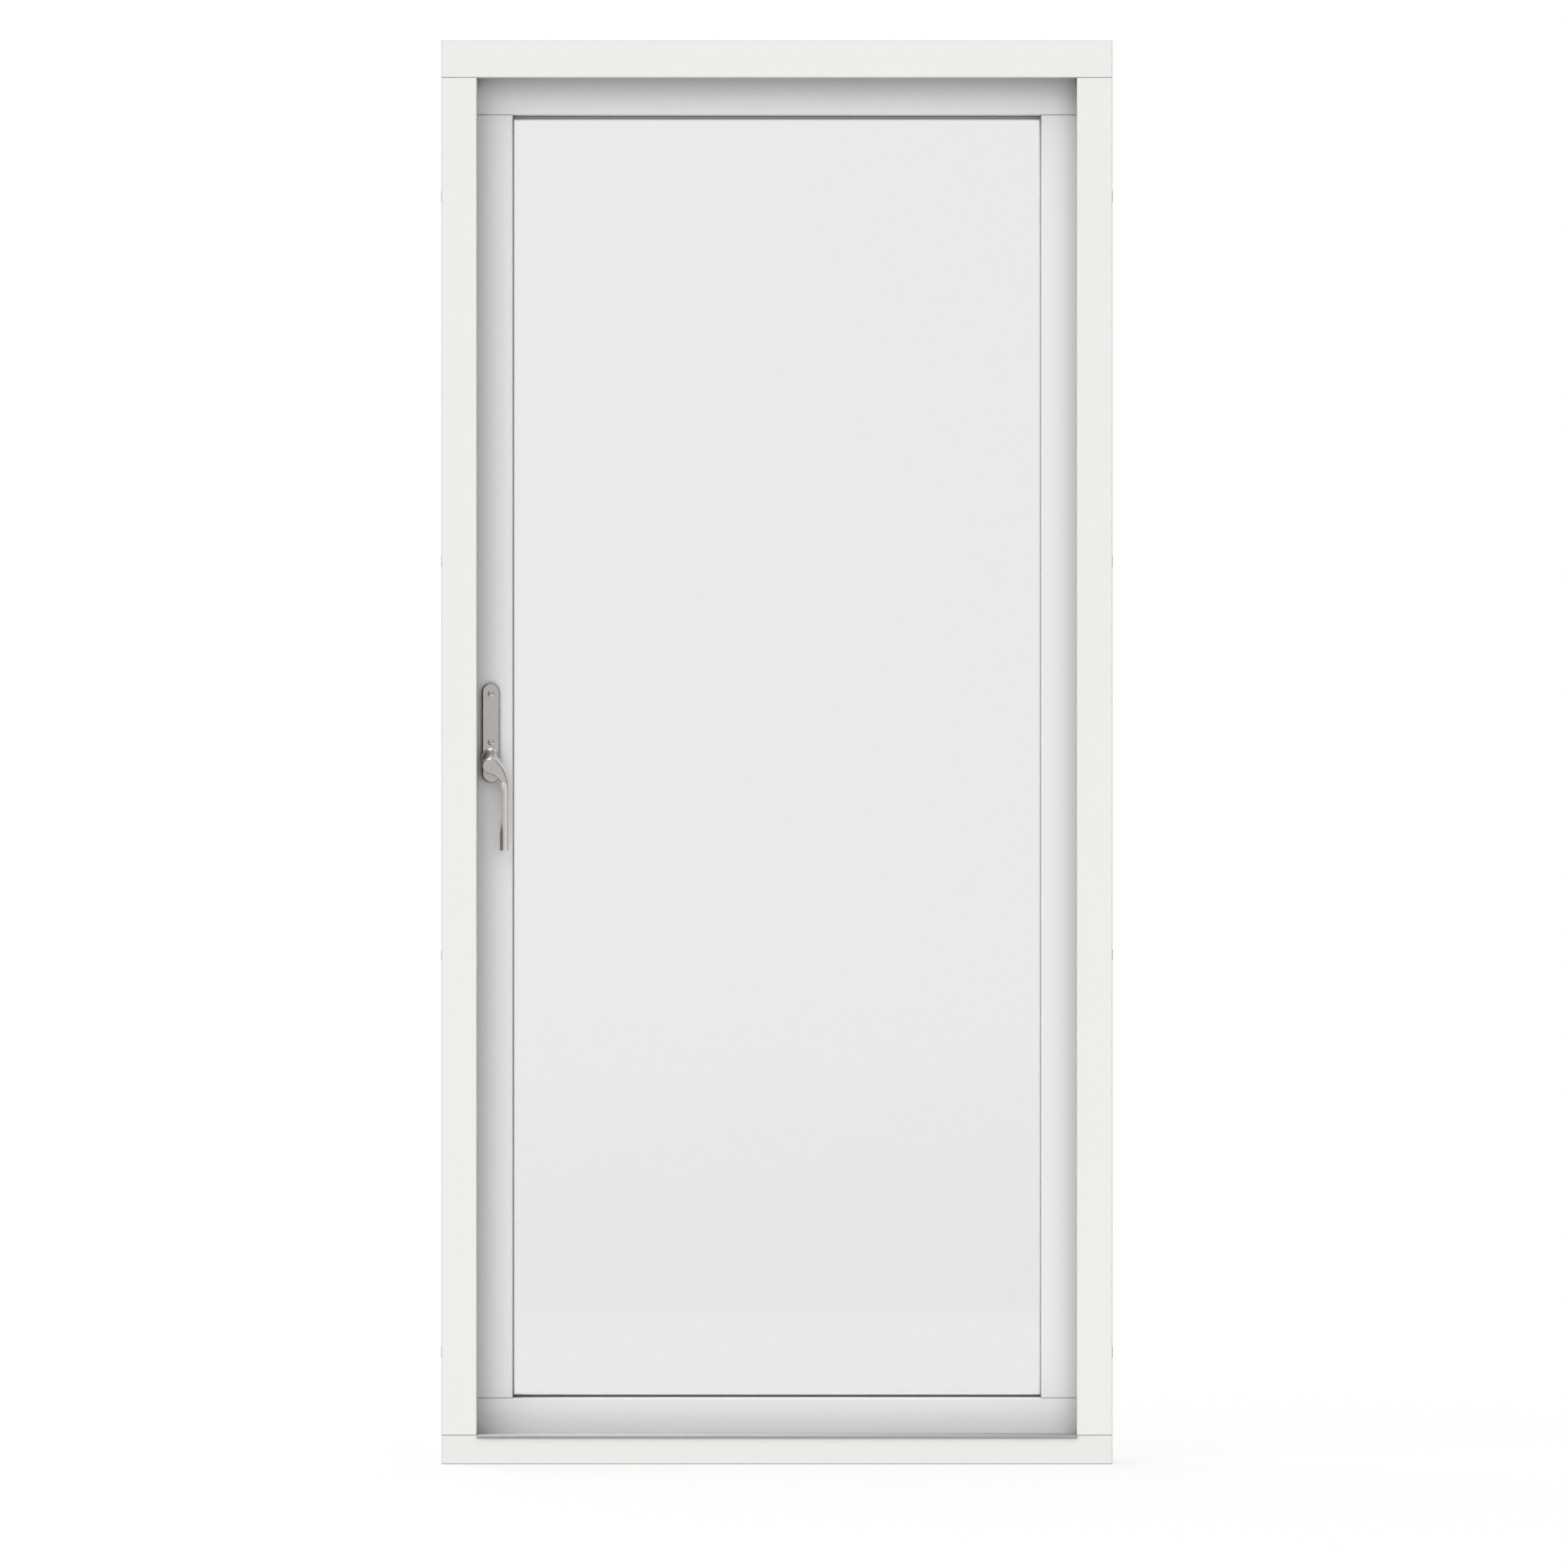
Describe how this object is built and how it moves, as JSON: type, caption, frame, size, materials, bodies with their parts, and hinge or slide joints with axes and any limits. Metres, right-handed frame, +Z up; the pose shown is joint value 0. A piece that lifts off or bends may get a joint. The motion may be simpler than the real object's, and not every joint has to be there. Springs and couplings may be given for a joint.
{
  "type": "glazed patio door",
  "caption": "Outward-opening glazed patio door in a painted timber frame: a full-height glazed sash, hung at the right, with an espagnolette lever handle and a metal threshold strip.",
  "frame": {"origin": "centre of the sill's underside, half way across the frame and half way through its depth", "axes": "+X to the right seen from the room, +Y out of doors through the frame, +Z up"},
  "size_m": [0.985, 0.1325, 2.08],
  "materials": {
    "frame_paint": "white semi-matt paint on pine",
    "sash_paint": "white semi-matt paint on pine",
    "glass": "clear float glass",
    "handle_metal": "satin nickel",
    "threshold_metal": "satin anodised",
    "seal_rubber": "grey extruded rubber",
    "sleeve_plastic": "white nylon",
    "lock_steel": "zinc plated",
    "hinge_steel": "zinc plated",
    "bead_metal": "white powder coat",
    "spacer_bar": "mill finish"
  },
  "bodies": {
    "frame": {"frame_head": "frame_paint", "frame_sill": "frame_paint", "frame_jamb_left": "frame_paint", "frame_jamb_right": "frame_paint", "threshold_strip": "threshold_metal", "weather_seal_head": "seal_rubber", "weather_seal_left": "seal_rubber", "weather_seal_right": "seal_rubber", "weather_seal_sill": "seal_rubber", "frame_sleeves_left": "sleeve_plastic", "frame_sleeves_right": "sleeve_plastic", "strike_plate_1": "lock_steel", "strike_plate_2": "lock_steel", "strike_plate_3": "lock_steel", "hinge_frame_leaf_1": "hinge_steel", "hinge_frame_leaf_2": "hinge_steel", "hinge_frame_leaf_3": "hinge_steel"},
    "sash": {"sash_stile_lock": "sash_paint", "sash_stile_hinge": "sash_paint", "sash_rail_top": "sash_paint", "sash_rail_bottom": "sash_paint", "glass_inner": "glass", "glass_outer": "glass", "glass_spacer": "spacer_bar", "glazing_seal_inner": "seal_rubber", "glazing_seal_outer": "seal_rubber", "glazing_bead_top": "bead_metal", "glazing_bead_bottom": "bead_metal", "glazing_bead_left": "bead_metal", "glazing_bead_right": "bead_metal", "lock_faceplate": "lock_steel", "lock_bolts": "lock_steel", "hinge_sash_leaf_1": "hinge_steel", "hinge_sash_leaf_2": "hinge_steel", "hinge_sash_leaf_3": "hinge_steel", "handle_plate": "handle_metal", "handle_screws": "handle_metal"},
    "lever": {"handle_lever": "handle_metal", "handle_spindle": "handle_metal"}
  },
  "joints": [
    {"name": "door_swing", "type": "hinge", "parent": "frame", "child": "sash", "pos_m": [0.4545, 0.065, 0], "axis": [0, 0, -1], "range_deg": [0, 110]},
    {"name": "handle_turn", "type": "hinge", "parent": "sash", "child": "lever", "pos_m": [-0.4192, -0.0125, 1.0325], "axis": [0, -1, 0], "range_deg": [0, 90]}
  ]
}
